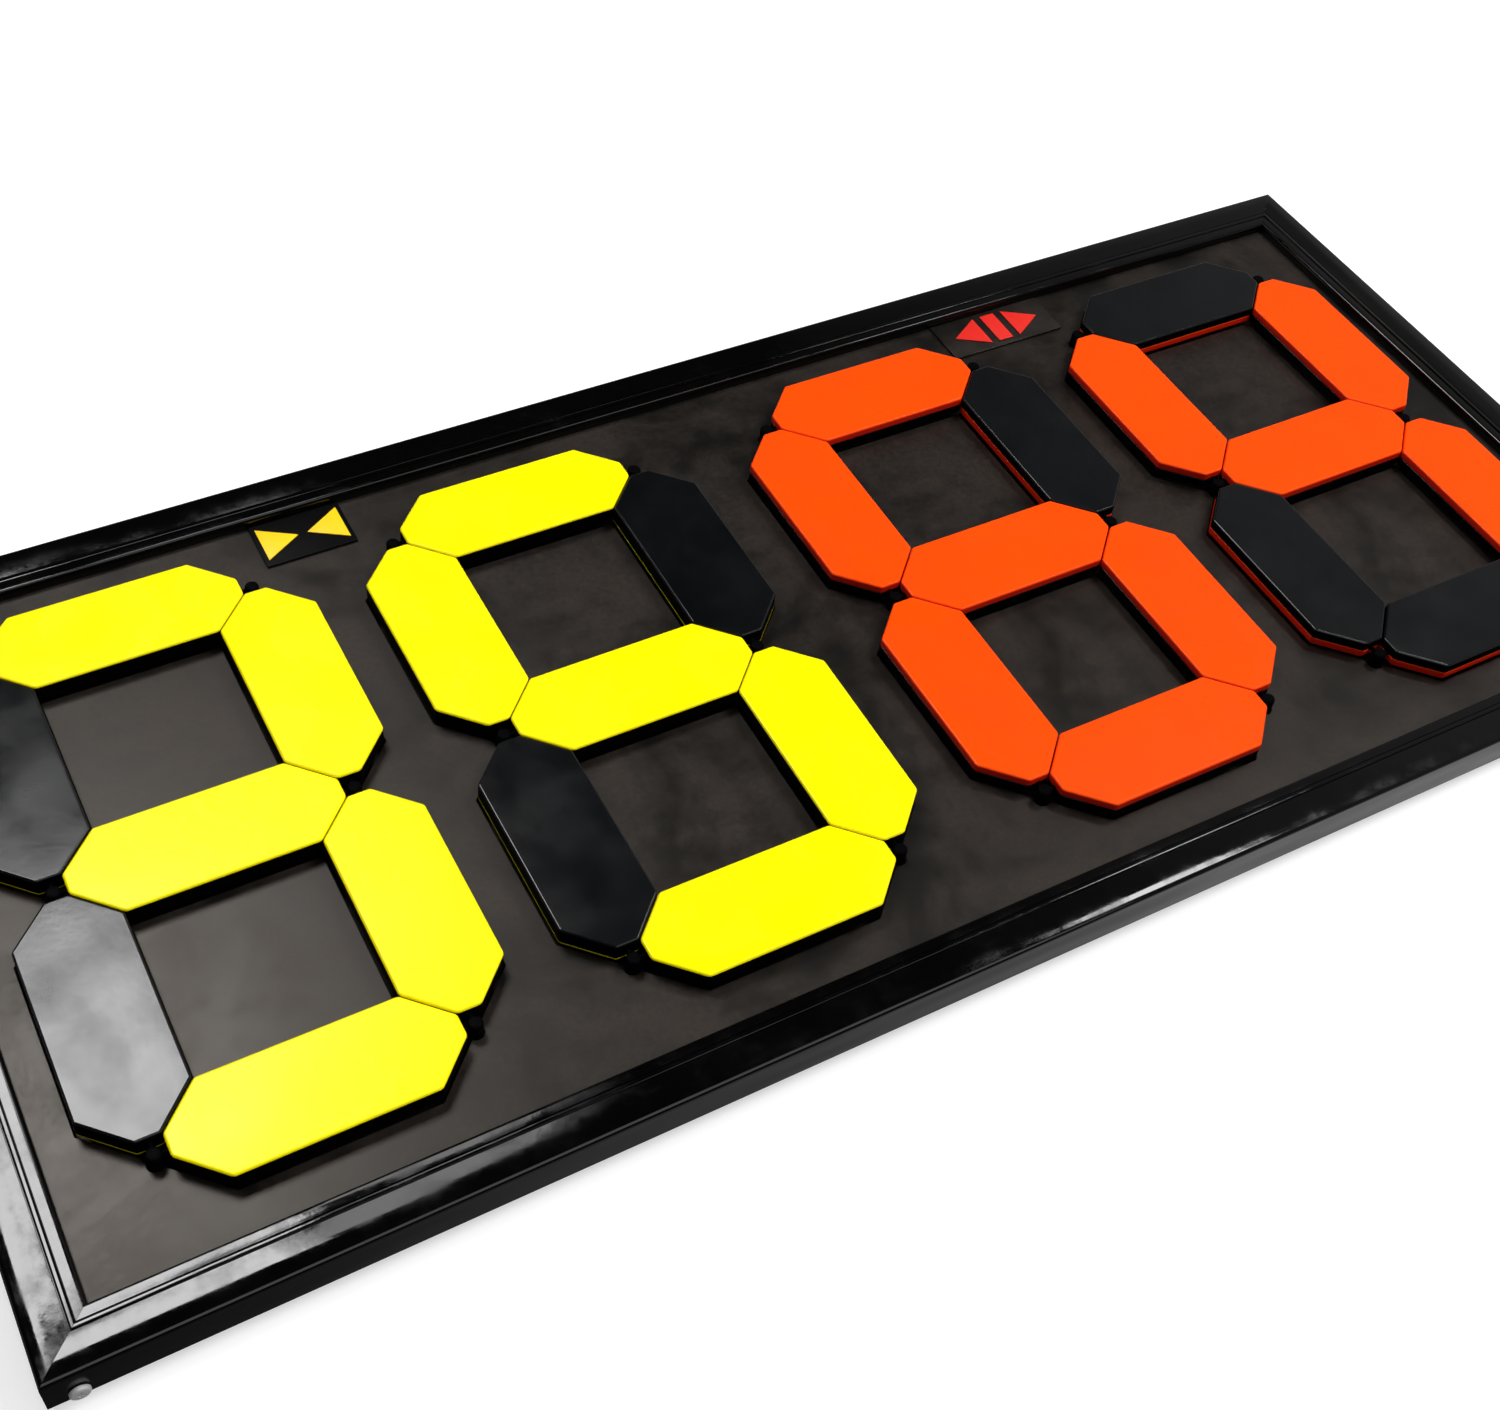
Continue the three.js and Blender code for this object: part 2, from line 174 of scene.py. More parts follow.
view = {
    "place": (-339.0, -438.75, 621.44),  # millimetres, from the middle of the board's back
    "turn": (39.864, -5.18, -28.712),  # degrees about X, Y and Z
    "lens": 46.567,
    "sensor": 36,
    "nearest": 10,  # that it sees
}
cameraData = bpy.data.cameras.new("camera")
cameraData.lens = view["lens"]
cameraData.sensor_width = view["sensor"]
cameraData.clip_start = view["nearest"] * mm
camera = bpy.data.objects.new("camera", cameraData)
camera.location = Vector(view["place"]) * mm
camera.rotation_euler = [math.radians(a) for a in view["turn"]]
bpy.context.scene.collection.objects.link(camera)
bpy.context.scene.camera = camera
print("camera placed")


def newMaterial(name):
    material = bpy.data.materials.new(name)
    material.use_nodes = True
    tree = material.node_tree
    tree.nodes.clear()
    output = addNode(tree, "ShaderNodeOutputMaterial")
    coords = addNode(tree, "ShaderNodeTexCoord")
    return material, tree, output, coords


def perMm(size):
    return 1 / (size * mm)  # noise scale for features of this size


skin = {
    "flowSize": 38,
    "flowDepth": 0.05,
    "flowFrom": 0.3,  # of the noise, where the roughness starts to change
    "flowTo": 0.7,
    "smoother": 0.04,  # than the plastic's own roughness
    "rougher": 0.06,
    "rubSize": 26,
    "rubFrom": 0.34,
    "rubTo": 0.74,
    "rubRougher": 0.08,
    "peelSize": 2.2,
    "peelDepth": 0.012,
    "pieceShift": (3.1, 1.7, 2.3),  # metres at most, so that no two pieces have the same marks
}


# Injection-moulded plastic: a smooth skin with slow flow marks, hand-rubbed clouds and a fine orange peel,
# which break up its sheen.
def mouldedPlastic(name, colour, deeper, roughness, ior=1.5, rubDepth=0.0, flowSize=skin["flowSize"],
                   peelSize=skin["peelSize"], peelDepth=skin["peelDepth"]):
    material, tree, output, coords = newMaterial(name)
    chance = addNode(tree, "ShaderNodeObjectInfo")
    offset = addNode(tree, "ShaderNodeVectorMath", {"operation": "SCALE"},
                     {0: skin["pieceShift"], "Scale": chance.outputs["Random"]})
    place = addNode(tree, "ShaderNodeVectorMath", {"operation": "ADD"},
                    {0: coords.outputs["Object"], 1: offset.outputs[0]})
    flow = addNode(tree, "ShaderNodeTexNoise", None,
                   {"Vector": place.outputs[0], "Scale": perMm(flowSize), "Detail": 4.0, "Roughness": 0.6})
    peel = addNode(tree, "ShaderNodeTexNoise", None,
                   {"Vector": place.outputs[0], "Scale": perMm(peelSize), "Detail": 1.0})
    rub = addNode(tree, "ShaderNodeTexNoise", None,
                  {"Vector": place.outputs[0], "Scale": perMm(skin["rubSize"]), "Detail": 4.0,
                   "Roughness": 0.5, "Distortion": 0.3})
    rubMask = addNode(tree, "ShaderNodeMapRange", {"interpolation_type": "SMOOTHSTEP"},
                      {"Value": rub.outputs["Fac"], "From Min": skin["rubFrom"], "From Max": skin["rubTo"]})
    tint = addNode(tree, "ShaderNodeMix", {"data_type": "RGBA"},
                   {"Factor": flow.outputs["Fac"], 6: hexColour(colour), 7: hexColour(deeper)})
    rough = addNode(tree, "ShaderNodeMapRange", None,
                    {"Value": flow.outputs["Fac"], "From Min": skin["flowFrom"], "From Max": skin["flowTo"],
                     "To Min": roughness - skin["smoother"], "To Max": roughness + skin["rougher"]})
    roughRubbed = addNode(tree, "ShaderNodeMath", {"operation": "MULTIPLY_ADD"},
                          {0: rubMask.outputs[0], 1: skin["rubRougher"], 2: rough.outputs[0]})
    flowBump = addNode(tree, "ShaderNodeBump", None,
                       {"Strength": 1.0, "Distance": skin["flowDepth"] * mm, "Height": flow.outputs["Fac"]})
    rubBump = addNode(tree, "ShaderNodeBump", None,
                      {"Strength": 1.0, "Distance": rubDepth * mm, "Height": rub.outputs["Fac"],
                       "Normal": flowBump.outputs[0]})
    peelBump = addNode(tree, "ShaderNodeBump", None,
                       {"Strength": 1.0, "Distance": peelDepth * mm, "Height": peel.outputs["Fac"],
                        "Normal": rubBump.outputs[0]})
    shader = addNode(tree, "ShaderNodeBsdfPrincipled", None,
                     {"Base Color": tint.outputs[2], "Roughness": roughRubbed.outputs[0], "IOR": ior,
                      "Normal": peelBump.outputs[0]})
    tree.links.new(shader.outputs[0], output.inputs[0])
    return material


yellowAbs = mouldedPlastic("yellowAbs", "#FFF400", "#FFEC00", 0.22, ior=1.3)
orangeAbs = mouldedPlastic("orangeAbs", "#FF5004", "#FF4602", 0.26, ior=1.27)
blackAbs = mouldedPlastic("blackAbs", "#030405", "#0F1012", 0.16, rubDepth=0.06)
# painted shade: the black shells' side walls are darker than their faces, so the sides stay black
blackShadedEdge = mouldedPlastic("blackShadedEdge", "#020203", "#040405", 0.6, ior=1.12)  # duller than the black faces
# painted shade: the orange shells' side walls are redder and darker than their faces, for sides that get less
# light
orangeShadedEdge = mouldedPlastic("orangeShadedEdge", "#E8260A", "#DC2008", 0.4, ior=1.3)  # redder than the orange faces
pinNylon = mouldedPlastic("blackNylon", "#020203", "#040405", 0.55, ior=1.12)  # dull, so that it stays dark


laminate = {
    "cloudSize": 55,
    "smearSize": 16,
    "smearShare": 0.45,  # against the clouds
    "dustFrom": 0.52,
    "dustTo": 0.9,
    "speckSize": 2.2,
    "grainSize": 0.9,
    "grainDepth": 0.02,
    "clean": ("#080706", 0.33),  # colour and roughness
    "dusty": ("#332C27", 0.5),
    "sheenTint": (1.0, 0.92, 0.84, 1.0),
}


# Matt black laminated sheet: a dry surface with rubbed, dusty clouds and a faint brown tinge.
def laminatedSheet(name):
    material, tree, output, coords = newMaterial(name)
    cloud = addNode(tree, "ShaderNodeTexNoise", None,
                    {"Vector": coords.outputs["Object"], "Scale": perMm(laminate["cloudSize"]), "Detail": 6.0,
                     "Roughness": 0.62, "Distortion": 0.6})
    smear = addNode(tree, "ShaderNodeTexNoise", None,
                    {"Vector": coords.outputs["Object"], "Scale": perMm(laminate["smearSize"]), "Detail": 5.0,
                     "Roughness": 0.6})
    grain = addNode(tree, "ShaderNodeTexNoise", None,
                    {"Vector": coords.outputs["Object"], "Scale": perMm(laminate["grainSize"]),
                     "Detail": 2.0})
    both = addNode(tree, "ShaderNodeMath", {"operation": "MULTIPLY_ADD"},
                   {0: smear.outputs["Fac"], 1: laminate["smearShare"], 2: cloud.outputs["Fac"]})
    speck = addNode(tree, "ShaderNodeTexNoise", None,
                    {"Vector": coords.outputs["Object"], "Scale": perMm(laminate["speckSize"]), "Detail": 3.0,
                     "Roughness": 0.7})
    dust = addNode(tree, "ShaderNodeMapRange", {"interpolation_type": "SMOOTHSTEP"},
                   {"Value": both.outputs[0], "From Min": laminate["dustFrom"],
                    "From Max": laminate["dustTo"]})
    mottle = addNode(tree, "ShaderNodeMath", {"operation": "MULTIPLY"},
                     {0: dust.outputs[0], 1: speck.outputs["Fac"]})
    cleanColour, cleanRoughness = laminate["clean"]
    dustyColour, dustyRoughness = laminate["dusty"]
    tint = addNode(tree, "ShaderNodeMix", {"data_type": "RGBA"},
                   {"Factor": mottle.outputs[0], 6: hexColour(cleanColour), 7: hexColour(dustyColour)})
    rough = addNode(tree, "ShaderNodeMapRange", None,
                    {"Value": mottle.outputs[0], "To Min": cleanRoughness, "To Max": dustyRoughness})
    bump = addNode(tree, "ShaderNodeBump", None,
                   {"Strength": 0.5, "Distance": laminate["grainDepth"] * mm, "Height": grain.outputs["Fac"]})
    shader = addNode(tree, "ShaderNodeBsdfPrincipled", None,
                     {"Base Color": tint.outputs[2], "Roughness": rough.outputs[0], "IOR": 1.52,
                      "Specular Tint": laminate["sheenTint"], "Normal": bump.outputs[0]})
    tree.links.new(shader.outputs[0], output.inputs[0])
    return material


blackSheet = laminatedSheet("blackLaminate")


extrusion = {
    "colour": "#030303",
    "waveSize": 19,
    "waveDepth": 1.2,
    "waveDrawn": (0.2, 1.0, 1.0),  # the waves are longer along the moulding
    "rippleSize": 7,
    "rippleDepth": 0.03,
    "rubSize": 22,
    "rubFrom": 0.42,
    "rubTo": 0.7,
    "polished": 0.06,  # roughness
    "rubbed": 0.24,
}


# Extruded PVC moulding: near-black mirror skin, slightly wavy along its length, with hairline rubs.
def extrudedPvc(name, ior):
    material, tree, output, coords = newMaterial(name)
    drawn = addNode(tree, "ShaderNodeVectorMath", {"operation": "MULTIPLY"},
                    {0: coords.outputs["Object"], 1: extrusion["waveDrawn"]})
    wave = addNode(tree, "ShaderNodeTexNoise", None,
                   {"Vector": drawn.outputs[0], "Scale": perMm(extrusion["waveSize"]), "Detail": 1.0,
                    "Roughness": 0.4})
    ripple = addNode(tree, "ShaderNodeTexNoise", None,
                     {"Vector": coords.outputs["Object"], "Scale": perMm(extrusion["rippleSize"]),
                      "Detail": 3.0})
    rub = addNode(tree, "ShaderNodeTexNoise", None,
                  {"Vector": coords.outputs["Object"], "Scale": perMm(extrusion["rubSize"]), "Detail": 7.0,
                   "Roughness": 0.7})
    rough = addNode(tree, "ShaderNodeMapRange", None,
                    {"Value": rub.outputs["Fac"], "From Min": extrusion["rubFrom"],
                     "From Max": extrusion["rubTo"], "To Min": extrusion["polished"],
                     "To Max": extrusion["rubbed"]})
    waveBump = addNode(tree, "ShaderNodeBump", None,
                       {"Strength": 1.0, "Distance": extrusion["waveDepth"] * mm,
                        "Height": wave.outputs["Fac"]})
    rippleBump = addNode(tree, "ShaderNodeBump", None,
                         {"Strength": 1.0, "Distance": extrusion["rippleDepth"] * mm,
                          "Height": ripple.outputs["Fac"], "Normal": waveBump.outputs[0]})
    shader = addNode(tree, "ShaderNodeBsdfPrincipled", None,
                     {"Base Color": hexColour(extrusion["colour"]), "Roughness": rough.outputs[0], "IOR": ior,
                      "Normal": rippleBump.outputs[0]})
    tree.links.new(shader.outputs[0], output.inputs[0])
    return material


glossPvc = extrudedPvc("glossPvc", 1.52)
satinPvc = extrudedPvc("satinPvc", 1.38)  # the outer walls mirror less
# textured ABS for the back, whose fine grain scatters its sheen
coverAbs = mouldedPlastic("coverAbs", "#141415", "#1A1A1B", 0.5, flowSize=60, peelSize=1.2, peelDepth=0.05)
# acrylic sheet, smooth and with little sheen, so that the plate reads as black
plateAcrylic = mouldedPlastic("plateAcrylic", "#040404", "#070607", 0.5, ior=1.2, peelDepth=0.006)


plating = {
    "markSize": 0.6,
    "markDepth": 0.02,
    "smoother": 0.08,  # than the plating's own roughness
    "rougher": 0.12,
}


# Nickel-plated or zinc-plated steel: pale metal with fine turning marks.
def platedSteel(name, colour, roughness, metallic=1.0):
    material, tree, output, coords = newMaterial(name)
    marks = addNode(tree, "ShaderNodeTexNoise", None,
                    {"Vector": coords.outputs["Object"], "Scale": perMm(plating["markSize"]), "Detail": 3.0})
    rough = addNode(tree, "ShaderNodeMapRange", None,
                    {"Value": marks.outputs["Fac"], "To Min": roughness - plating["smoother"],
                     "To Max": roughness + plating["rougher"]})
    bump = addNode(tree, "ShaderNodeBump", None,
                   {"Strength": 0.4, "Distance": plating["markDepth"] * mm, "Height": marks.outputs["Fac"]})
    shader = addNode(tree, "ShaderNodeBsdfPrincipled", None,
                     {"Base Color": hexColour(colour), "Metallic": metallic, "Roughness": rough.outputs[0],
                      "Normal": bump.outputs[0]})
    tree.links.new(shader.outputs[0], output.inputs[0])
    return material


nickelSteel = platedSteel("nickelSteel", "#EDEDEC", 0.5, 0.6)  # tarnished, so less than a full mirror
zincSteel = platedSteel("zincSteel", "#A9ABAE", 0.42)
# cut vinyl film: even, opaque colour with a soft sheen, for the marks on the plates
yellowVinyl = mouldedPlastic("yellowVinyl", "#FFDC14", "#FFC800", 0.4)
redVinyl = mouldedPlastic("redVinyl", "#E42A20", "#D42218", 0.4)
print("materials made:", len(bpy.data.materials))


segments = ["top", "upper_right", "lower_right", "bottom", "lower_left", "upper_left", "middle"]
upright = {"upper_right", "lower_right", "lower_left", "upper_left"}
digits = [
    # colour, and the flaps whose coloured side is up
    ("yellow", {"top", "upper_right", "middle", "lower_right", "bottom"}),
    ("yellow", {"top", "upper_left", "middle", "lower_right", "bottom"}),
    ("orange", {"top", "upper_left", "middle", "lower_left", "lower_right", "bottom"}),
    ("orange", {"upper_left", "upper_right", "middle", "lower_right"}),
]
flap = {
    "halfLength": 51.9,
    "halfWidth": 20,
    "tip": 4.5,
    "halfThickness": 4.3,
    "round": 1.0,
    "seam": 0.3,
    "seamRound": 0.2,
    # the side walls found by wallRise take the edge plastic, which is painted shade on orange and black
    # shells
    "wallRise": 0.3,  # upward part of a face's normal, under which the face belongs to the edge
    "softAngle": 50,
    "yellowShare": 0.12,  # of the thickness, for the coloured shell
    "orangeShare": 0.45,
}
flapPin = {
    "radius": 1.0,
    "reach": 55.0,  # from the middle of the flap
    "seat": 1.5,  # inside the flap's end
    "bossRadius": 2.0,
    "bossLength": 1.2,
    "bossEnd": 1.6,
    "pointLength": 0.3,
    "pointShare": 0.8,  # of the pin's radius
    "sides": 20,
}


def flapOutline(inset=0):
    tipX = flap["halfLength"] - inset
    tipY = flap["tip"] - inset * (math.sqrt(2) - 1)
    sideY = flap["halfWidth"] - inset
    sideX = tipX + tipY - sideY
    right = [(tipX, -tipY), (tipX, tipY), (sideX, sideY), (-sideX, sideY)]
    return right + [(-x, -y) for x, y in right]


def shellMesh(name, low, high):
    bm = bmesh.new()
    outline = flapOutline()
    lower = [bm.verts.new((x * mm, y * mm, low * mm)) for x, y in outline]
    upper = [bm.verts.new((x * mm, y * mm, high * mm)) for x, y in outline]
    bm.faces.new(upper)
    bm.faces.new(lower[::-1])
    walls = []
    for i in range(len(outline)):
        j = (i + 1) % len(outline)
        walls.append(bm.faces.new((lower[i], lower[j], upper[j], upper[i])))
    seamEdges = [e for e in bm.edges if all(v in lower for v in e.verts)]
    bmesh.ops.bevel(bm, geom=seamEdges, offset=flap["seamRound"] * mm, segments=1, affect="EDGES",
                    profile=0.5)
    top = max(bm.faces, key=lambda f: f.calc_center_median().z)
    rim = list(top.edges)
    halfRise = (high - low) * 0.5 * mm
    corners = [e for e in bm.edges if abs(e.verts[0].co.z - e.verts[1].co.z) > halfRise]
    bmesh.ops.bevel(bm, geom=rim + corners, offset=flap["round"] * mm, segments=4, affect="EDGES",
                    profile=0.5)
    mesh = meshFromBm(bm, name)
    smoothShade(mesh, flap["softAngle"])
    return mesh


def pinsMesh():
    end = flapPin["reach"] - flap["halfLength"] + flapPin["seat"]
    profile = [
        (0, 0), (flapPin["bossRadius"], 0), (flapPin["bossRadius"], flapPin["bossLength"]),
        (flapPin["radius"], flapPin["bossEnd"]), (flapPin["radius"], end - flapPin["pointLength"]),
        (flapPin["radius"] * flapPin["pointShare"], end), (0, end),
    ]
    start = flap["halfLength"] - flapPin["seat"]
    bm = bmesh.new()
    for side in (1, -1):
        part = turnedMesh(profile, flapPin["sides"])
        aim = Matrix.Rotation(math.radians(90 * side), 4, "Y")
        part.transform(Matrix.Translation((start * side * mm, 0, 0)) @ aim)
        bm.from_mesh(part)
        bpy.data.meshes.remove(part)
    mesh = meshFromBm(bm, "flapPins")
    smoothShade(mesh, flap["softAngle"])
    return mesh


pins = pinsMesh()
shells = {
    # plastic, the plastic at its edges (for orange, darker and redder as painted shade), slot, and share of
    # the flap's thickness
    "yellow": (yellowAbs, yellowAbs, "yellow_plastic", flap["yellowShare"]),
    "orange": (orangeAbs, orangeShadedEdge, "orange_plastic", flap["orangeShare"]),
}
for i, (colour, shown) in enumerate(digits):
    plastic, edgePlasticWithShade, slot, share = shells[colour]
    split = flap["halfThickness"] * (1 - 2 * share)
    colouredShell = shellMesh(f"colourShell{i + 1}", split + flap["seam"] / 2, flap["halfThickness"])
    blackShell = shellMesh(f"blackShell{i + 1}", -split + flap["seam"] / 2, flap["halfThickness"])
    for segment in segments:
        node = f"digit_{i + 1}_flap_{segment}"
        middle = boxOf(node)[2]
        turn = Matrix.Rotation(math.pi / 2 if segment in upright else 0, 4, "Z")
        place = Matrix.Translation(middle * mm) @ turn
        under = place @ Matrix.Rotation(math.pi, 4, "X")
        coloured = addObject(f"{node}_coloured_shell", colouredShell)
        coloured.matrix_world = place if segment in shown else under
        dark = addObject(f"{node}_black_shell", blackShell)
        dark.matrix_world = under if segment in shown else place
        pin = addObject(f"{node}_pins", pins)
        pin.matrix_world = place
        seat(coloured, node, [node], plastic)
        seat(dark, node, [node], blackAbs)
        seat(pin, node, [node], pinNylon)
        for piece in (coloured, dark):
            evenNormals(piece)
    # painted shade: the side walls of the orange and black shells take their darker edge plastics
    for shell, edge in ((colouredShell, edgePlasticWithShade), (blackShell, blackShadedEdge)):
        shell.materials.append(edge)
        for face in shell.polygons:
            if abs(face.normal.z) < flap["wallRise"]:
                face.material_index = 1
print("flaps made")


panelLow, panelHigh, _ = boxOf("face_panel")
panelTop = panelHigh.z
panelUnder = panelLow.z
trayUnder = boxOf("digit_1_tray")[0].z
pivot = {
    "spacing": 113.5,
    "axis": boxOf("digit_1_flap_middle")[2].z,
}
tray = {
    "gap": 0.6,  # round the flaps
    "flapGap": 1.2,  # between the slanted ends of neighbouring flaps
    "wall": 1.2,
    "flange": 5.0,
    "seatGap": 0.3,
    "counterSink": 0.6,  # of a counter into the floor
    "round": 0.4,
}
trayFloor = trayUnder + tray["wall"]
post = {
    "radius": 2.9,
    "rise": 2.2,  # over the flaps' axis
    "round": 1.2,
    "roundSteps": 6,
    "footGap": 0.02,  # over the tray's floor
    "footWidth": 1.2,  # round the post
    "footHeight": 1.0,
    "flareHeight": 2.2,  # where the foot has narrowed to the post
    "sides": 32,
    "boreRadius": 1.15,
    "boreDepth": 1.6,
    "boreSides": 20,
    "bayGap": 0.3,  # round the post in the panel
    "baySteps": 12,
}
postTop = pivot["axis"] + post["rise"]
panel = {
    "round": 0.3,
}


def digitOutline(offset):
    half = pivot["spacing"] / 2
    sideX = half + flap["halfWidth"] + offset
    endY = pivot["spacing"] + flap["halfWidth"] + offset
    slant = offset * math.sqrt(2) - tray["flapGap"] / math.sqrt(2)
    cornerSum = half + pivot["spacing"] + slant
    notchX = half + slant
    notchY = sideX - notchX
    right = [(cornerSum - endY, endY), (sideX, cornerSum - sideX), (sideX, notchY), (notchX, 0),
             (sideX, -notchY), (sideX, sideX - cornerSum), (cornerSum - endY, -endY)]
    return (right + [(-x, -y) for x, y in right])[::-1]


def squareOutline(y, half):
    return rectangle(-half, y - half, half, y + half)


def pivotPlaces():
    half = pivot["spacing"] / 2
    return [(sideX * half, row * pivot["spacing"], sideX, row) for sideX in (-1, 1) for row in (-1, 0, 1)]


def trayMesh():
    flangeTop = panelUnder - tray["seatGap"]
    body = addObject("tray", prismMesh(digitOutline(tray["gap"] + tray["wall"]), trayUnder, flangeTop))
    flange = addObject("flange", prismMesh(digitOutline(tray["gap"] + tray["wall"] + tray["flange"]),
                                           flangeTop - tray["wall"], flangeTop))
    combine(body, flange, "UNION")
    well = addObject("well", prismMesh(digitOutline(tray["gap"]), trayFloor, flangeTop + cutOverrun))
    combine(body, well, "DIFFERENCE")
    half = pivot["spacing"] / 2 - flap["halfWidth"] - tray["gap"]
    for side in (-1, 1):
        y = side * pivot["spacing"] / 2
        counter = prismMesh(squareOutline(y, half), trayFloor - tray["counterSink"], panelTop)
        combine(body, addObject("counter", counter), "UNION")
        hollow = prismMesh(squareOutline(y, half - tray["wall"]), trayUnder - cutOverrun,
                           panelTop - tray["wall"])
        combine(body, addObject("hollow", hollow), "DIFFERENCE")
    roundEdges(body, tray["round"])
    applyModifiers(body)
    mesh = body.data
    bpy.data.objects.remove(body)
    return mesh


def postsMesh():
    bm = bmesh.new()
    footRadius = post["radius"] + post["footWidth"]
    profile = [(0, trayFloor + post["footGap"]), (footRadius, trayFloor + post["footGap"]),
               (footRadius, trayFloor + post["footHeight"]),
               (post["radius"], trayFloor + post["flareHeight"])]
    for share in [0] + spread(post["roundSteps"]):
        angle = share * math.pi / 2
        profile.append((post["radius"] - post["round"] * (1 - math.cos(angle)),
                        postTop - post["round"] * (1 - math.sin(angle))))
    profile.append((0, postTop))
    for x, y, _, _ in pivotPlaces():
        part = turnedMesh(profile, post["sides"])
        part.transform(Matrix.Translation((x * mm, y * mm, 0)))
        bm.from_mesh(part)
        bpy.data.meshes.remove(part)
    body = addObject("posts", meshFromBm(bm, "posts"))
    boreEnd, boreStart = post["radius"] - post["boreDepth"], post["radius"] + cutOverrun
    boreProfile = [(0, boreEnd), (post["boreRadius"], boreEnd),
                   (post["boreRadius"], boreStart), (0, boreStart)]
    for x, y, sideX, row in pivotPlaces():
        ways = [(-sideX, 0)] + ([(0, 1)] if row < 1 else []) + ([(0, -1)] if row > -1 else [])
        for wayX, wayY in ways:
            bore = turnedMesh(boreProfile, post["boreSides"])
            aim = Vector((0, 0, 1)).rotation_difference(Vector((wayX, wayY, 0))).to_matrix().to_4x4()
            bore.transform(Matrix.Translation((x * mm, y * mm, pivot["axis"] * mm)) @ aim)
            combine(body, addObject("bore", bore), "DIFFERENCE")
    mesh = body.data
    smoothShade(mesh)
    bpy.data.objects.remove(body)
    return mesh


trayShape = trayMesh()
postsShape = postsMesh()
for i in range(len(digits)):
    node = f"digit_{i + 1}_tray"
    middle = boxOf(node)[2]
    for name, mesh, material in (("shell", trayShape, blackSheet), ("posts", postsShape, pinNylon)):
        piece = addObject(f"{node}_{name}", mesh.copy())
        piece.location = (middle.x * mm, 0, 0)
        seat(piece, "board", [node], material)
print("trays and posts made")


# A digit's opening in the panel, with a round bay at each post.
def openingOutline():
    outline = [Vector(corner) for corner in digitOutline(tray["gap"])]
    centres = [Vector((x, y)) for x, y, _, _ in pivotPlaces()]
    bay = post["radius"] + post["bayGap"]
    onLine = bay / 4  # how far off an edge a post may stand and still get a bay there
    points = []

    def addBay(centre, wayIn, wayOut):
        start = math.atan2(-wayIn.y, -wayIn.x)
        sweep = (math.atan2(wayOut.y, wayOut.x) - start) % (2 * math.pi)
        for step in range(post["baySteps"] + 1):
            angle = start + sweep * step / post["baySteps"]
            points.append((centre.x + bay * math.cos(angle), centre.y + bay * math.sin(angle)))

    for i, corner in enumerate(outline):
        edge = outline[(i + 1) % len(outline)] - corner
        wayIn, wayOut, length = (corner - outline[i - 1]).normalized(), edge.normalized(), edge.length
        if any((corner - centre).length < bay for centre in centres):
            addBay(corner, wayIn, wayOut)
        else:
            points.append(tuple(corner))
        for centre in centres:
            along = (centre - corner).dot(wayOut)
            foot = corner + wayOut * along
            if bay < along < length - bay and (centre - foot).length < onLine:
                addBay(foot, wayOut, wayOut)
    return points


panelPiece = addObject("face_panel_sheet", prismMesh(
    rectangle(panelLow.x, panelLow.y, panelHigh.x, panelHigh.y), panelUnder, panelTop))
for i in range(len(digits)):
    middle = boxOf(f"digit_{i + 1}_tray")[2]
    opening = addObject("opening", prismMesh([(x + middle.x, y) for x, y in openingOutline()],
                                             panelUnder - cutOverrun, panelTop + cutOverrun))
    combine(panelPiece, opening, "DIFFERENCE")
roundEdges(panelPiece, panel["round"])
applyModifiers(panelPiece)
seat(panelPiece, "board", ["face_panel"], blackSheet)
print("panel made")


rail = {
    "width": 21,
    "low": boxOf("near_rail")[0].z,
    "shoulder": 3.8,  # heights from here on are over the panel's face
    "crown": 5.7,
    "round": 2.2,
    "roundSteps": 8,
    "crownAt": 6.5,  # from the outer wall
    "crownRise": 0.35,  # of the broad face's outer part
    "riseSteps": 6,
    "faceInner": 5.2,
    "fallPower": 1.3,  # 1 is a straight fall to the inner edge
    "fallSteps": 8,
    "faceWidth": 13.4,
    "groove": 0.5,
    "grooveDepth": 0.5,
    "grooveSteps": 5,
    "bead": 1.8,
    "beadRise": 0.12,
    "beadPower": 4,  # 2 is a parabola, and more is flatter on top
    "beadSteps": 7,
    "band": 3.4,
    "bandRise": 0.04,
    "bandDrop": 0.12,
    "bandSteps": 5,
    "lip": 1.8,
    "lipSteps": 6,
    "seatGap": 0.3,  # over and under the panel
    "slotStart": 8,
    "webEnd": 17,
    "web": 1.2,
    "wall": 2,
    "foot": 12,
    "mitre": 0.06,  # each end's share of the gap at a corner
    "edgeRound": 0.5,
    "edgeMiddle": 0.15,  # of that round, from both faces
    "sectionLength": 25,
    "wallFacing": 0.9,  # outward part of a wall face's normal, at least
}


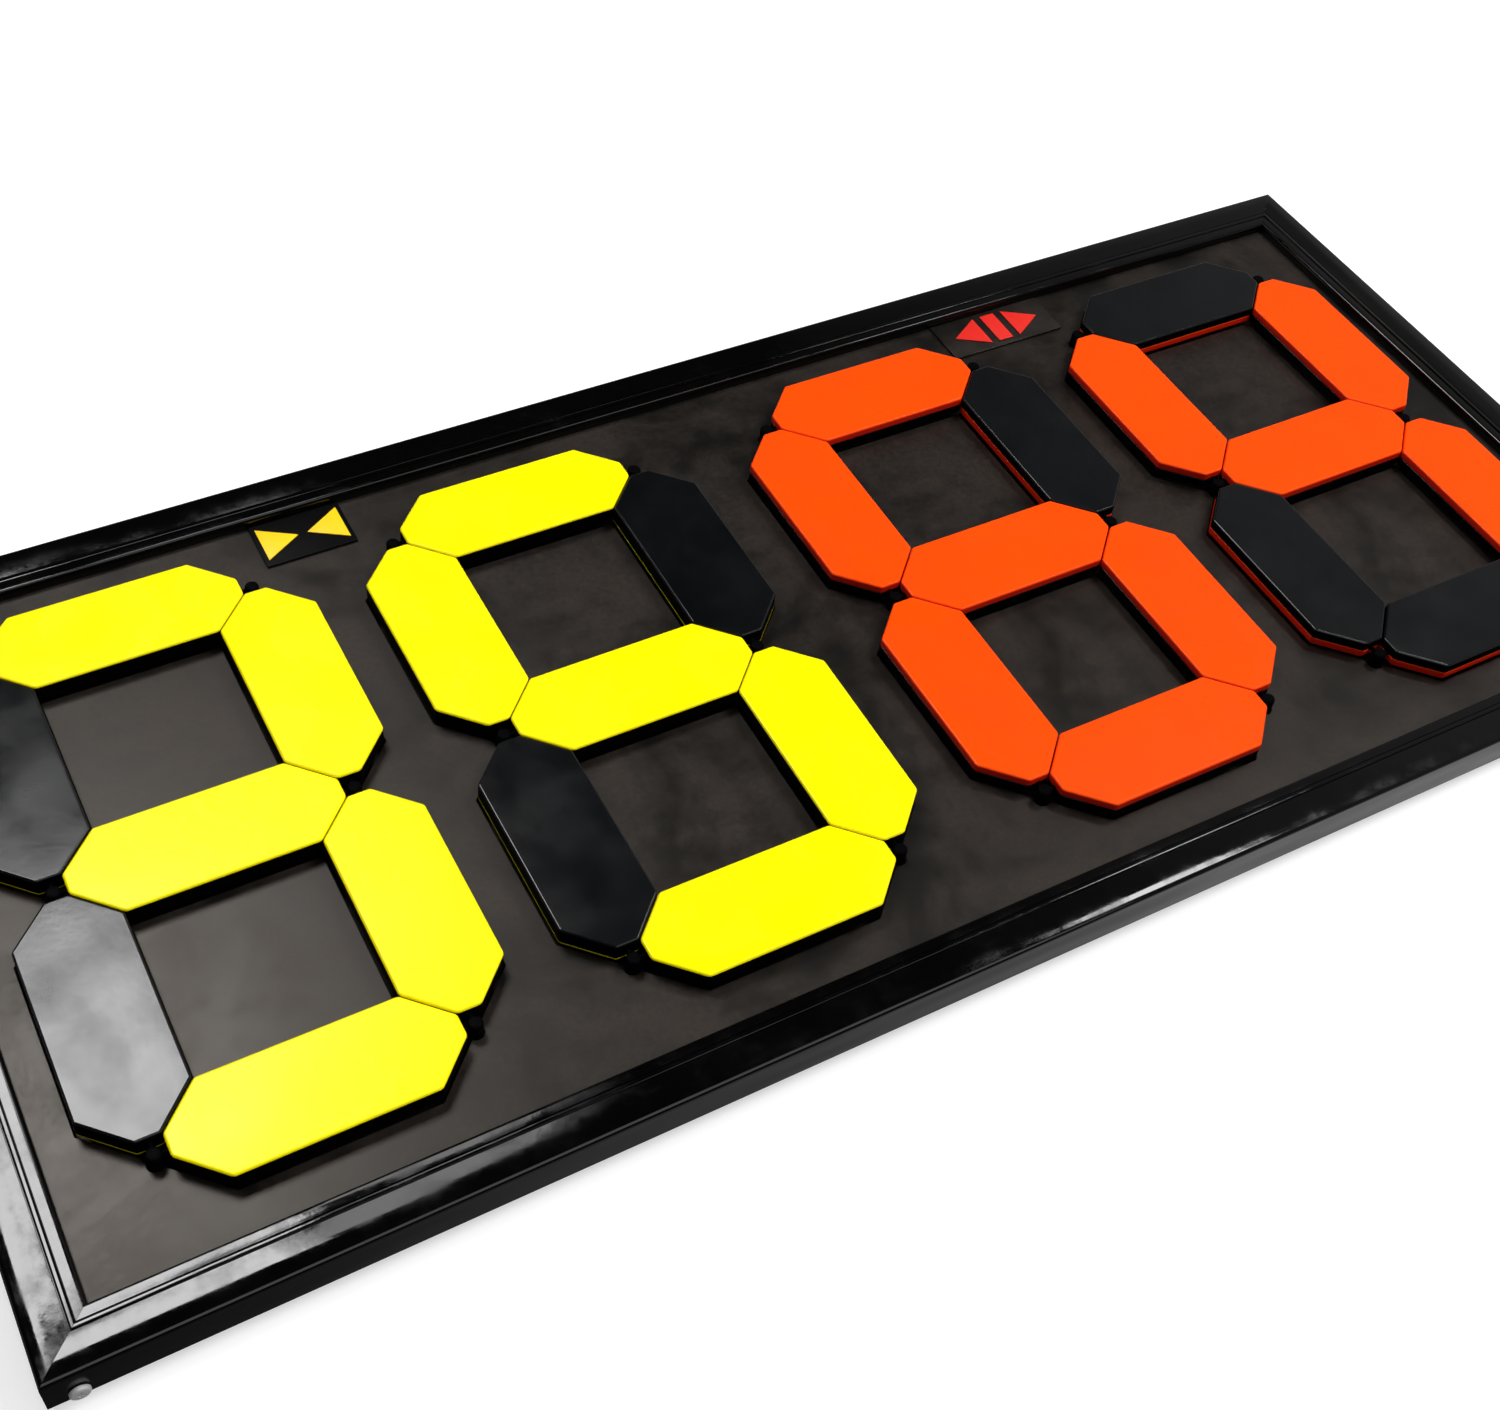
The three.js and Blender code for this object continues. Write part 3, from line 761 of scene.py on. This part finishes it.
def railProfile():
    top, under = panelTop, rail["low"]
    shoulder, crown, inner = top + rail["shoulder"], top + rail["crown"], top + rail["faceInner"]
    points = [(rail["edgeRound"], under), (rail["edgeMiddle"], under + rail["edgeMiddle"]),
              (0, under + rail["edgeRound"]), (0, shoulder)]
    roundTop = crown - rail["crownRise"]
    for share in spread(rail["roundSteps"]):
        angle = share * math.pi / 2
        points.append((rail["round"] * (1 - math.cos(angle)),
                       shoulder + (roundTop - shoulder) * math.sin(angle)))
    start, peak, end = rail["round"], rail["crownAt"], rail["faceWidth"]
    for share in spread(rail["riseSteps"]):  # the broad face rises to its crown
        points.append((start + (peak - start) * share, crown - rail["crownRise"] * (1 - share) ** 2))
    for share in spread(rail["fallSteps"]):  # and falls to its inner edge
        points.append((peak + (end - peak) * share, crown + (inner - crown) * share ** rail["fallPower"]))
    cursor = end
    for share in spread(rail["grooveSteps"]):  # first groove
        points.append((cursor + rail["groove"] * share,
                       inner - rail["grooveDepth"] * math.sin(math.pi * share)))
    cursor += rail["groove"]
    for share in spread(rail["beadSteps"]):  # bead
        points.append((cursor + rail["bead"] * share,
                       inner + rail["beadRise"] * (1 - (2 * share - 1) ** rail["beadPower"])))
    cursor += rail["bead"]
    bandTop = inner - rail["grooveDepth"] / 2
    for share in spread(rail["grooveSteps"]):  # second groove
        points.append((cursor + rail["groove"] * share,
                       inner - rail["grooveDepth"] * math.sin(math.pi * share) + (bandTop - inner) * share))
    cursor += rail["groove"]
    for share in spread(rail["bandSteps"]):  # inner band
        points.append((cursor + rail["band"] * share,
                       bandTop - rail["bandDrop"] * share + rail["bandRise"] * math.sin(math.pi * share)))
    cursor += rail["band"]
    bandLow = bandTop - rail["bandDrop"]
    lip = top + rail["lip"]
    for share in spread(rail["lipSteps"]):  # lip
        points.append((cursor + (rail["width"] - cursor) * math.sin(share * math.pi / 2),
                       lip + (bandLow - lip) * math.cos(share * math.pi / 2)))
    slotTop = top + rail["seatGap"]
    webTop = panelUnder - rail["seatGap"]
    footTop = under + rail["wall"]
    channelTop = webTop - rail["web"]
    points += [(rail["width"], slotTop), (rail["slotStart"], slotTop), (rail["slotStart"], webTop),
               (rail["webEnd"], webTop), (rail["webEnd"], channelTop), (rail["wall"], channelTop),
               (rail["wall"], footTop), (rail["foot"], footTop), (rail["foot"], under)]
    return points


def railMesh(length, distance):
    profile = railProfile()
    bm = bmesh.new()
    sections = int(length / rail["sectionLength"])
    rings = []
    for k in range(sections + 1):
        share = 2 * k / sections - 1  # -1 at one mitre, 1 at the other
        ring = []
        for u, z in profile:
            reach = length / 2 - u - rail["mitre"]
            ring.append(bm.verts.new((share * reach * mm, (u - distance) * mm, z * mm)))
        rings.append(ring)
    for a, b in zip(rings, rings[1:]):
        for i in range(len(profile)):
            j = (i + 1) % len(profile)
            bm.faces.new((a[i], a[j], b[j], b[i]))
    bm.faces.new(rings[0][::-1])
    bm.faces.new(rings[-1])
    mesh = meshFromBm(bm, "rail")
    smoothShade(mesh)
    return mesh


boardLength = boxOf("right_rail")[1].x - boxOf("left_rail")[0].x
boardWidth = boxOf("far_rail")[1].y - boxOf("near_rail")[0].y
railSides = [
    # side, degrees about Z, length, distance of its outer wall from the middle
    ("near", 0, boardLength, boardWidth / 2),
    ("right", 90, boardWidth, boardLength / 2),
    ("far", 180, boardLength, boardWidth / 2),
    ("left", -90, boardWidth, boardLength / 2),
]
for name, turn, length, distance in railSides:
    piece = addObject(f"{name}_rail_moulding", railMesh(length, distance))
    piece.rotation_euler.z = math.radians(turn)
    seat(piece, "board", [f"{name}_rail"], glossPvc)
    piece.data.materials.append(satinPvc)
    for face in piece.data.polygons:
        if face.normal.y < -rail["wallFacing"] and face.center.z < (panelTop + rail["shoulder"]) * mm:
            face.material_index = 1
    evenNormals(piece)
print("rails made")


screw = {
    "headRadius": 3.5,
    "headHeight": 1.9,
    "underside": 0.2,  # chamfer under the head
    "edge": 0.7,
    "edgeRound": 1.0,
    "edgeSteps": 7,
    "dome": 0.15,
    "domeBreak": (0.4, 0.3),  # a ring at this share of the radius has this share of the dome's drop
    "shankRadius": 1.25,
    "length": 7.0,
    "pointStart": 1.2,  # before the screw's length
    "pointEnd": 0.3,  # past it
    "pointShare": 0.5,  # of the shank's radius
    "sides": 40,
    "softAngle": 35,
    "slotWidth": 0.8,
    "slotLength": 3.6,
    "slotDepth": 1.1,
    "slotRise": 1.0,  # over the head, where the cutter has its full size
    "slotTaper": (0.55, 0.7),  # of its length and width, at the bottom
    "spin": 37,  # degrees from one screw's recess to the next one's
}


def screwMesh():
    head, radius, shank = screw["headHeight"], screw["headRadius"], screw["shankRadius"]
    pointEnd = -screw["length"] - screw["pointEnd"]
    profile = [(0, pointEnd), (shank * screw["pointShare"], pointEnd),
               (shank, -screw["length"] + screw["pointStart"]), (shank, 0.0),
               (radius - screw["underside"], 0.0), (radius, screw["underside"]), (radius, screw["edge"])]
    rim = head - screw["dome"]
    for share in spread(screw["edgeSteps"]):
        angle = share * math.pi / 2
        profile.append((radius - screw["edgeRound"] * (1 - math.cos(angle)),
                        screw["edge"] + (rim - screw["edge"]) * math.sin(angle)))
    breakRadius, breakDrop = screw["domeBreak"]
    profile += [(radius * breakRadius, head - screw["dome"] * breakDrop), (0, head)]
    body = addObject("screw", turnedMesh(profile, screw["sides"]))
    half, wide = screw["slotLength"] / 2, screw["slotWidth"] / 2
    taperX, taperY = screw["slotTaper"]
    for turn in (0, 90):
        bar = prismMesh(rectangle(-half, -wide, half, wide), head - screw["slotDepth"],
                        head + screw["slotRise"])
        for vertex in bar.vertices:
            if vertex.co.z < head * mm:
                vertex.co.x *= taperX
                vertex.co.y *= taperY
        bar.transform(Matrix.Rotation(math.radians(turn), 4, "Z"))
        combine(body, addObject("bar", bar), "DIFFERENCE")
    mesh = body.data
    smoothShade(mesh, screw["softAngle"])
    bpy.data.objects.remove(body)
    return mesh


screwShape = screwMesh()
outwardWays = {"near": (0, -1, 0), "far": (0, 1, 0), "left": (-1, 0, 0), "right": (1, 0, 0)}
screwCount = 0
for node in sorted(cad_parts):
    if "_screw_" not in node:
        continue
    low, high, middle = boxOf(node)
    outwards = Vector((0, 0, -1) if "_cover_" in node else outwardWays[node.split("_")[0]])
    reach = max((Vector(corner) - middle).dot(outwards) for corner in (low, high))
    headTop = middle + outwards * reach
    aim = Vector((0, 0, 1)).rotation_difference(outwards).to_matrix().to_4x4()
    spin = Matrix.Rotation(math.radians(screw["spin"] * screwCount), 4, "Z")
    piece = addObject(f"{node}_pan_head", screwShape.copy())
    piece.matrix_world = Matrix.Translation((headTop - outwards * screw["headHeight"]) * mm) @ aim @ spin
    seat(piece, "board", [node], nickelSteel)
    screwCount += 1
print("screws made:", screwCount)


coverLow, coverHigh, _ = boxOf("back_cover")
cover = {
    "wallInset": 14,  # from the flange's edge
    "thickness": 2,
    "flange": 1.8,
    "corner": 8,
    "cornerSteps": 6,
    "round": 0.9,
    "roundSteps": 3,
    "roundAngle": 60,  # degrees, over which an edge is rounded
}


def roundedRectangle(halfX, halfY, radius):
    points = []
    for cornerX, cornerY, start in ((1, 1, 0), (-1, 1, 90), (-1, -1, 180), (1, -1, 270)):
        for step in range(cover["cornerSteps"] + 1):
            angle = math.radians(start + 90 * step / cover["cornerSteps"])
            points.append((cornerX * (halfX - radius) + radius * math.cos(angle),
                           cornerY * (halfY - radius) + radius * math.sin(angle)))
    return points


halfX, halfY = coverHigh.x, coverHigh.y
wallX, wallY = halfX - cover["wallInset"], halfY - cover["wallInset"]
coverPiece = addObject("back_cover_moulding", prismMesh(
    roundedRectangle(wallX, wallY, cover["corner"]), coverLow.z, coverHigh.z))
coverFlange = prismMesh(roundedRectangle(halfX, halfY, cover["corner"]), coverHigh.z - cover["flange"],
                        coverHigh.z)
combine(coverPiece, addObject("flange", coverFlange), "UNION")
hollowOutline = roundedRectangle(wallX - cover["thickness"], wallY - cover["thickness"],
                                 cover["corner"] - cover["thickness"])
coverHollow = prismMesh(hollowOutline, cover["thickness"], coverHigh.z + cutOverrun)
combine(coverPiece, addObject("hollow", coverHollow), "DIFFERENCE")
roundEdges(coverPiece, cover["round"], cover["roundSteps"], cover["roundAngle"])
applyModifiers(coverPiece)
smoothShade(coverPiece.data)
seat(coverPiece, "board", ["back_cover"], coverAbs)
evenNormals(coverPiece)

for node in sorted(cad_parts):
    if node.endswith("_bracket"):
        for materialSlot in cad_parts[node].material_slots:
            materialSlot.material = zincSteel
print("back cover and brackets made")


marks = {
    "height": 19,
    "width": 16,
    "thickness": 0.6,
    "gap": 4,
    "bar": 8,
    "round": 0.25,  # of the plates' edges too
}


def arrowOutline(x, way):
    half, depth = marks["height"] / 2, marks["width"]
    points = [(x - way * depth / 2, -half), (x + way * depth / 2, 0), (x - way * depth / 2, half)]
    return points if way > 0 else points[::-1]


def barOutline():
    half, wide = marks["height"] / 2, marks["bar"] / 2
    return rectangle(-wide, -half, wide, half)


inStep = marks["width"] / 2 + marks["gap"] / 2
outStep = marks["bar"] / 2 + marks["gap"] + marks["width"] / 2
labels = [
    # plate, what it is made of, its marks' film, their slot and their outlines
    ("in_label_plate", plateAcrylic, yellowVinyl, "yellow_plastic",
     [arrowOutline(-inStep, 1), arrowOutline(inStep, -1)]),
    ("out_label_plate", blackSheet, redVinyl, "orange_plastic",
     [arrowOutline(-outStep, -1), barOutline(), arrowOutline(outStep, 1)]),
]
for node, plateMaterial, film, slot, outlines in labels:
    low, high, middle = boxOf(node)
    plate = addObject(f"{node}_sheet", prismMesh(rectangle(low.x, low.y, high.x, high.y), low.z, high.z))
    roundEdges(plate, marks["round"])
    applyModifiers(plate)
    smoothShade(plate.data)
    seat(plate, "board", [node], plateMaterial)
    for k, outline in enumerate(outlines):
        mark = addObject(f"{node}_mark_{k + 1}", prismMesh(
            [(x + middle.x, y + middle.y) for x, y in outline], high.z, high.z + marks["thickness"]))
        roundEdges(mark, marks["round"])
        applyModifiers(mark)
        smoothShade(mark.data)
        seat(mark, "board", [], film)
print("label plates made")


backdrop = {  # lengths in metres, from the middle of the board
    "size": 30,
    "under": 0.0002,
    "colour": (0.6, 0.6, 0.6, 1),
    "glowFrom": 0.5,
    "glowTo": 1.6,
    "nearGlow": 0.55,
    "farGlow": 1.0,
    "mirrorFrom": -0.6,  # along X
    "mirrorTo": 0.1,
    "mirrorPower": 2.5,
    "mirrorGlow": 0.75,
}


# A pale sweep: white to the camera, softly shaded round the board, and dimmer in the gloss of its near left,
# where the gloss sees a painted reflection: a glow that fades to dark towards the left.
def floorMaterial():
    material, tree, output, coords = newMaterial("paleFloor")
    path = addNode(tree, "ShaderNodeLightPath")
    direct = addNode(tree, "ShaderNodeMath", {"operation": "MAXIMUM"},
                     {0: path.outputs["Is Camera Ray"], 1: path.outputs["Is Glossy Ray"]})
    seen = addNode(tree, "ShaderNodeMath", {"operation": "MAXIMUM"},
                   {0: direct.outputs[0], 1: path.outputs["Is Transmission Ray"]})
    distance = addNode(tree, "ShaderNodeVectorMath", {"operation": "LENGTH"}, {0: coords.outputs["Object"]})
    strength = addNode(tree, "ShaderNodeMapRange", None,
                       {"Value": distance.outputs["Value"],
                        "From Min": backdrop["glowFrom"], "From Max": backdrop["glowTo"],
                        "To Min": backdrop["nearGlow"], "To Max": backdrop["farGlow"]})
    # painted reflection: the gloss sees only this glow, which fades to dark towards the left, so the near
    # wall's reflection darkens there
    parts = addNode(tree, "ShaderNodeSeparateXYZ", None, {0: coords.outputs["Object"]})
    shade = addNode(tree, "ShaderNodeMapRange", None,
                    {"Value": parts.outputs[0], "From Min": backdrop["mirrorFrom"],
                     "From Max": backdrop["mirrorTo"]})
    deepShade = addNode(tree, "ShaderNodeMath", {"operation": "POWER"},
                        {0: shade.outputs[0], 1: backdrop["mirrorPower"]})
    dimShade = addNode(tree, "ShaderNodeMath", {"operation": "MULTIPLY"},
                       {0: deepShade.outputs[0], 1: backdrop["mirrorGlow"]})
    glow = addNode(tree, "ShaderNodeMath", {"operation": "MULTIPLY"},
                   {0: strength.outputs[0], 1: seen.outputs[0]})
    diffuse = addNode(tree, "ShaderNodeBsdfDiffuse", None, {"Color": backdrop["colour"]})
    emission = addNode(tree, "ShaderNodeEmission", None, {"Color": (1, 1, 1, 1), "Strength": glow.outputs[0]})
    both = addNode(tree, "ShaderNodeAddShader", None, {0: diffuse.outputs[0], 1: emission.outputs[0]})
    mirrored = addNode(tree, "ShaderNodeEmission", None,
                       {"Color": (1, 1, 1, 1), "Strength": dimShade.outputs[0]})
    choice = addNode(tree, "ShaderNodeMixShader", None,
                     {0: path.outputs["Is Glossy Ray"], 1: both.outputs[0], 2: mirrored.outputs[0]})
    tree.links.new(choice.outputs[0], output.inputs[0])
    return material


floorBm = bmesh.new()
bmesh.ops.create_grid(floorBm, x_segments=1, y_segments=1, size=backdrop["size"])
floor = addObject("floor", meshFromBm(floorBm, "floor"))
floor.location.z = -backdrop["under"]
floor.data.materials.append(floorMaterial())

lamps = [
    # name, place, aimed at, width, height (metres), watts
    ("windowLamp", (-0.43, 0.82, 1.59), (-0.31, -0.1, 0), 0.54, 0.46, 10.5),
    ("wallLamp", (0.02, 0.96, 1.6), (-0.2, -0.1, 0), 0.3, 0.3, 1.0),
    ("keyLamp", (2.4, -0.6, 3.4), (0, 0, 0), 1.9, 1.9, 140),
    ("frontLamp", (0.2, -1.0, 1.9), (0.05, 0, 0), 1.8, 1.3, 9),
    ("gleamLamp", (1.03, 0.13, 1.6), (0.07, -0.16, 0), 0.36, 0.22, 3.8),
]
for name, place, target, width, height, watts in lamps:
    data = bpy.data.lights.new(name, "AREA")
    data.shape = "RECTANGLE"
    data.size, data.size_y = width, height
    data.energy = watts
    lamp = bpy.data.objects.new(name, data)
    lamp.location = place
    lamp.rotation_euler = (Vector(target) - Vector(place)).to_track_quat("-Z", "Y").to_euler()
    lamp.visible_camera = False
    lamp.visible_glossy = name != "keyLamp"  # no streak of the key shows on the gloss
    bpy.context.scene.collection.objects.link(lamp)

sky = {  # heights and sides are parts of a ray's direction, from -1 to 1
    "pale": 1.0,
    "dark": 0.012,
    "seenFrom": 0.2,  # height at which the pale band starts to darken, to the camera
    "seenTo": 0.4,
    "mirroredFrom": 0.04,  # and in the gloss
    "mirroredTo": 0.2,
    "nearFrom": -0.5,  # along Y
    "nearTo": 0.1,
    "nearShare": 0.12,
    "farShare": 0.8,
    "rightFrom": 0.42,  # along X
    "rightTo": 0.7,
    "rightGlow": 0.22,
    "light": 0.1,  # on the object
}
world = bpy.data.worlds.new("studio")
bpy.context.scene.world = world
world.use_nodes = True
tree = world.node_tree
tree.nodes.clear()
skyCoords = addNode(tree, "ShaderNodeTexCoord")
skySplit = addNode(tree, "ShaderNodeSeparateXYZ", None, {0: skyCoords.outputs["Generated"]})
skyPath = addNode(tree, "ShaderNodeLightPath")
skyDirect = addNode(tree, "ShaderNodeMath", {"operation": "MAXIMUM"},
                    {0: skyPath.outputs["Is Camera Ray"], 1: skyPath.outputs["Is Glossy Ray"]})
skySeen = addNode(tree, "ShaderNodeMath", {"operation": "MAXIMUM"},
                  {0: skyDirect.outputs[0], 1: skyPath.outputs["Is Transmission Ray"]})
skyPale = addNode(tree, "ShaderNodeMapRange", {"interpolation_type": "SMOOTHSTEP"},
                  {"Value": skySplit.outputs["Z"], "From Min": sky["seenFrom"], "From Max": sky["seenTo"],
                   "To Min": sky["pale"], "To Max": sky["dark"]})
skyLow = addNode(tree, "ShaderNodeMapRange", {"interpolation_type": "SMOOTHSTEP"},
                 {"Value": skySplit.outputs["Z"], "From Min": sky["mirroredFrom"],
                  "From Max": sky["mirroredTo"], "To Min": sky["pale"], "To Max": sky["dark"]})
skySide = addNode(tree, "ShaderNodeMapRange", None,
                  {"Value": skySplit.outputs["Y"], "From Min": sky["nearFrom"], "From Max": sky["nearTo"],
                   "To Min": sky["nearShare"], "To Max": sky["farShare"]})
skyMirrored = addNode(tree, "ShaderNodeMath", {"operation": "MULTIPLY"},
                      {0: skyLow.outputs[0], 1: skySide.outputs[0]})
skyRight = addNode(tree, "ShaderNodeMapRange", None,
                   {"Value": skySplit.outputs["X"], "From Min": sky["rightFrom"], "From Max": sky["rightTo"],
                    "To Min": 0.0, "To Max": sky["rightGlow"]})
skyGloss = addNode(tree, "ShaderNodeMath", {"operation": "ADD"},
                   {0: skyMirrored.outputs[0], 1: skyRight.outputs[0]})
skyShown = addNode(tree, "ShaderNodeMix", {"data_type": "FLOAT"},
                   {0: skyPath.outputs["Is Glossy Ray"], 2: skyPale.outputs[0], 3: skyGloss.outputs[0]})
skyStrength = addNode(tree, "ShaderNodeMix", {"data_type": "FLOAT"},
                      {0: skySeen.outputs[0], 2: sky["light"], 3: skyShown.outputs[0]})
skyLight = addNode(tree, "ShaderNodeBackground", None,
                   {"Color": (1, 1, 1, 1), "Strength": skyStrength.outputs[0]})
addNode(tree, "ShaderNodeOutputWorld", None, {0: skyLight.outputs[0]})
bpy.context.scene.view_settings.view_transform = "Standard"
print("floor and lamps made")
